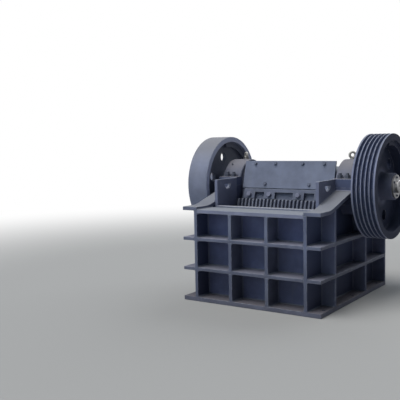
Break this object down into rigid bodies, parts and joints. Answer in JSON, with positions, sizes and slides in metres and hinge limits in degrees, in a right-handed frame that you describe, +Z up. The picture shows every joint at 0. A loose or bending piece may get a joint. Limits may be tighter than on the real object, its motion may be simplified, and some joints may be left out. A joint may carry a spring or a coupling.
{
  "type": "jaw crusher",
  "caption": "Stationary jaw crusher with a welded box frame, eccentric shaft, flywheel, grooved sheave and a swing jaw facing a fixed toothed plate.",
  "frame": {"origin": "middle of the base's underside, which is also the bottom centre of the whole box", "axes": "+X from the flywheel to the sheave along the shaft, -Y is the front with the feed mouth behind the front flange, +Z up"},
  "size_m": [1.992, 1.49, 1.472],
  "materials": {
    "frame_paint": "satin blue-grey enamel, dusty on upper faces",
    "flange_paint": "satin blue-grey enamel under warm grey dust",
    "housing_paint": "satin blue-grey enamel, pinkish dust on top",
    "cover_paint": "dark blue-grey enamel",
    "flywheel_paint": "grey enamel on cast iron, dusty",
    "sheave_paint": "dark blue-grey enamel on cast iron",
    "jaw_paint": "satin blue-grey enamel on cast steel",
    "guard_paint": "satin blue-grey enamel on plate",
    "jaw_steel": "cast manganese steel, painted over",
    "machined_steel": "turned and oiled",
    "plain_steel": "plain dull steel",
    "spring_steel": "black oiled spring wire",
    "fastener_steel": "painted over with the frame"
  },
  "bodies": {
    "frame": {"left_base_strip": "flange_paint", "right_base_strip": "flange_paint", "base_end_strips": "flange_paint", "front_wall": "frame_paint", "rear_wall": "frame_paint", "left_side_wall": "frame_paint", "right_side_wall": "frame_paint", "front_ribs": "frame_paint", "rear_ribs": "frame_paint", "side_ribs": "frame_paint", "front_shelves": "flange_paint", "rear_shelves": "flange_paint", "side_shelves": "flange_paint", "front_top_flange": "flange_paint", "rear_top_flange": "flange_paint", "left_side_flange": "flange_paint", "right_side_flange": "flange_paint", "left_ear_plate": "frame_paint", "right_ear_plate": "frame_paint", "left_bearing_seat": "housing_paint", "right_bearing_seat": "housing_paint", "left_bearing_cap": "housing_paint", "right_bearing_cap": "housing_paint", "cap_studs": "fastener_steel", "cap_eyebolts": "fastener_steel", "main_bearings": "machined_steel", "bearing_end_covers": "cover_paint", "fixed_jaw_plate": "jaw_steel", "left_cheek_plate": "jaw_steel", "right_cheek_plate": "jaw_steel", "toggle_beam": "frame_paint", "toggle_plate": "plain_steel", "tension_rods": "plain_steel", "tension_springs": "spring_steel"},
    "rotor": {"eccentric_shaft": "machined_steel", "flywheel": "flywheel_paint", "sheave": "sheave_paint", "wheel_lock_rings": "machined_steel"},
    "swing_jaw": {"swing_jaw_body": "jaw_paint", "swing_jaw_plate": "jaw_steel", "jaw_bearings": "machined_steel", "clamp_bar": "jaw_paint", "clamp_bolts": "fastener_steel", "guard_plate": "guard_paint", "guard_bolts": "fastener_steel"}
  },
  "joints": [
    {"name": "shaft_spin", "type": "hinge", "parent": "frame", "child": "rotor", "pos_m": [0, 0.193, 1.007], "axis": [1, 0, 0], "continuous": true},
    {"name": "jaw_swing", "type": "hinge", "parent": "rotor", "child": "swing_jaw", "pos_m": [0, 0.187, 0.999], "axis": [1, 0, 0], "continuous": true}
  ],
  "couplings": [
    {"joint": "jaw_swing", "follows": "shaft_spin", "ratio": -1}
  ]
}
